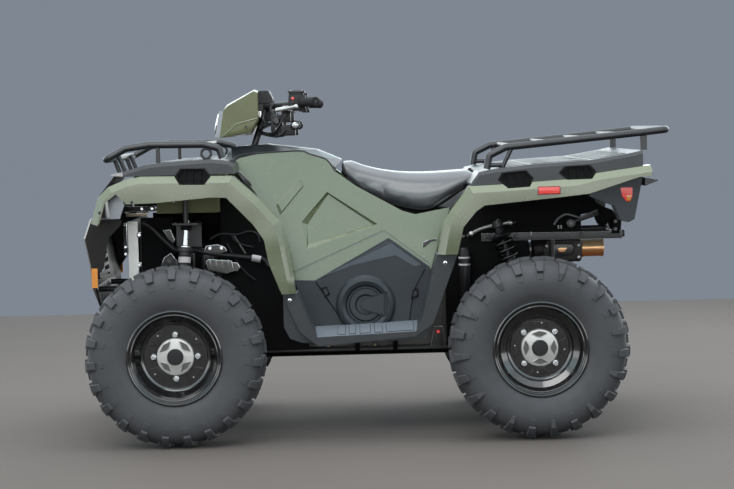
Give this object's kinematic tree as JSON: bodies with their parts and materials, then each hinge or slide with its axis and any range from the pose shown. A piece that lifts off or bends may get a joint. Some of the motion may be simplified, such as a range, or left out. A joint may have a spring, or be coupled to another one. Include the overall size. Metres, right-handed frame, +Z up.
{
  "type": "utility quad bike",
  "caption": "Four-wheel utility quad bike with steered front wheels, handlebar pod, saddle seat, footwells and tube racks.",
  "frame": {"origin": "on the floor, under the middle of the whole vehicle's box", "axes": "+X along the length towards the rear, +Y to the vehicle's right, +Z up"},
  "size_m": [2.1092, 1.219, 1.26],
  "materials": {
    "frame_steel": "satin black powder coat",
    "belly_plastic": "matt moulded",
    "engine_metal": "grey cast, plain block",
    "gearcase_metal": "cast, dull",
    "radiator_metal": "bare, dull",
    "exhaust_steel": "heat-darkened",
    "tailpipe_bronze": "heat-tinted straw and bronze",
    "knuckle_iron": "black cast",
    "shock_black": "black gloss coil",
    "fascia_black": "black grained plastic",
    "lamp_clear": "clear lens",
    "amber_lens": "amber reflector",
    "body_green": "sage green moulded-in gloss",
    "deck_grey": "dark grey grained plastic",
    "panel_black": "black grained plastic",
    "footwell_grey": "slate grey plastic",
    "red_lens": "red lens",
    "seat_vinyl": "black vinyl, soft sheen",
    "rack_steel": "satin black",
    "grip_rubber": "ribbed rubber",
    "control_black": "black housings, silver lever",
    "tyre_rubber": "dark grey rubber",
    "rim_black": "gloss black steel, silver hub"
  },
  "bodies": {
    "chassis": {"frame": "frame_steel", "skid_plate": "belly_plastic", "engine": "engine_metal", "front_drive": "gearcase_metal", "rear_drive": "gearcase_metal", "radiator": "radiator_metal", "silencer": "exhaust_steel", "tailpipe": "tailpipe_bronze", "hitch": "frame_steel", "front_arms": "frame_steel", "rear_arms": "frame_steel", "rear_knuckles": "knuckle_iron", "rear_shocks": "shock_black", "bumper": "fascia_black", "grille": "fascia_black", "headlights": "lamp_clear", "front_reflectors": "amber_lens", "front_fenders": "body_green", "inner_liner": "body_green", "side_panels": "body_green", "rear_fenders": "body_green", "front_cover": "deck_grey", "rear_cover": "deck_grey", "centre_cover": "deck_grey", "lower_panels": "panel_black", "clutch_cover": "panel_black", "footwells": "footwell_grey", "tail_housings": "panel_black", "side_vents": "panel_black", "inner_guards": "belly_plastic", "tail_panel": "deck_grey", "rear_lenses": "red_lens", "seat": "seat_vinyl", "front_rack": "rack_steel", "rear_rack": "rack_steel"},
    "handlebar": {"handlebar": "rack_steel", "grips": "grip_rubber", "hand_controls": "control_black", "pod": "body_green", "pod_lamp": "lamp_clear", "gauge": "control_black"},
    "knuckle_left": {"knuckle_left": "knuckle_iron"},
    "knuckle_right": {"knuckle_right": "knuckle_iron"},
    "tie_rod_left": {"tie_rod_left": "frame_steel"},
    "tie_rod_right": {"tie_rod_right": "frame_steel"},
    "wheel_front_left": {"tyre_front_left": "tyre_rubber", "rim_front_left": "rim_black"},
    "wheel_front_right": {"tyre_front_right": "tyre_rubber", "rim_front_right": "rim_black"},
    "wheel_rear_left": {"tyre_rear_left": "tyre_rubber", "rim_rear_left": "rim_black"},
    "wheel_rear_right": {"tyre_rear_right": "tyre_rubber", "rim_rear_right": "rim_black"}
  },
  "joints": [
    {"name": "handlebar_steer", "type": "hinge", "parent": "chassis", "child": "handlebar", "pos_m": [-0.43, 0, 1.075], "axis": [0.342, 0, 0.9397], "range_deg": [-35, 35]},
    {"name": "knuckle_left_steer", "type": "hinge", "parent": "chassis", "child": "knuckle_left", "pos_m": [-0.70875, -0.416, 0.232], "axis": [0.0598, 0.1559, 0.986], "range_deg": [-29.8, 29.8]},
    {"name": "tie_rod_left_ball", "type": "hinge", "parent": "knuckle_left", "child": "tie_rod_left", "pos_m": [-0.59765, -0.38707, 0.415], "axis": [0.0598, 0.1559, 0.986], "range_deg": [-31.4, 31.4]},
    {"name": "wheel_front_left_spin", "type": "hinge", "parent": "knuckle_left", "child": "wheel_front_left", "pos_m": [-0.70975, -0.508, 0.32], "axis": [0, 1, 0], "continuous": true},
    {"name": "wheel_rear_left_spin", "type": "hinge", "parent": "chassis", "child": "wheel_rear_left", "pos_m": [0.57325, -0.4825, 0.32], "axis": [0, 1, 0], "continuous": true},
    {"name": "knuckle_right_steer", "type": "hinge", "parent": "chassis", "child": "knuckle_right", "pos_m": [-0.70875, 0.416, 0.232], "axis": [0.0598, -0.1559, 0.986], "range_deg": [-29.8, 29.8]},
    {"name": "tie_rod_right_ball", "type": "hinge", "parent": "knuckle_right", "child": "tie_rod_right", "pos_m": [-0.59765, 0.38707, 0.415], "axis": [0.0598, -0.1559, 0.986], "range_deg": [-31.4, 31.4]},
    {"name": "wheel_front_right_spin", "type": "hinge", "parent": "knuckle_right", "child": "wheel_front_right", "pos_m": [-0.70975, 0.508, 0.32], "axis": [0, 1, 0], "continuous": true},
    {"name": "wheel_rear_right_spin", "type": "hinge", "parent": "chassis", "child": "wheel_rear_right", "pos_m": [0.57325, 0.4825, 0.32], "axis": [0, 1, 0], "continuous": true}
  ],
  "couplings": [
    {"joint": "knuckle_left_steer", "follows": "handlebar_steer", "ratio": 0.85},
    {"joint": "knuckle_right_steer", "follows": "handlebar_steer", "ratio": 0.85},
    {"joint": "tie_rod_left_ball", "follows": "handlebar_steer", "ratio": -0.895},
    {"joint": "tie_rod_right_ball", "follows": "handlebar_steer", "ratio": -0.895}
  ]
}
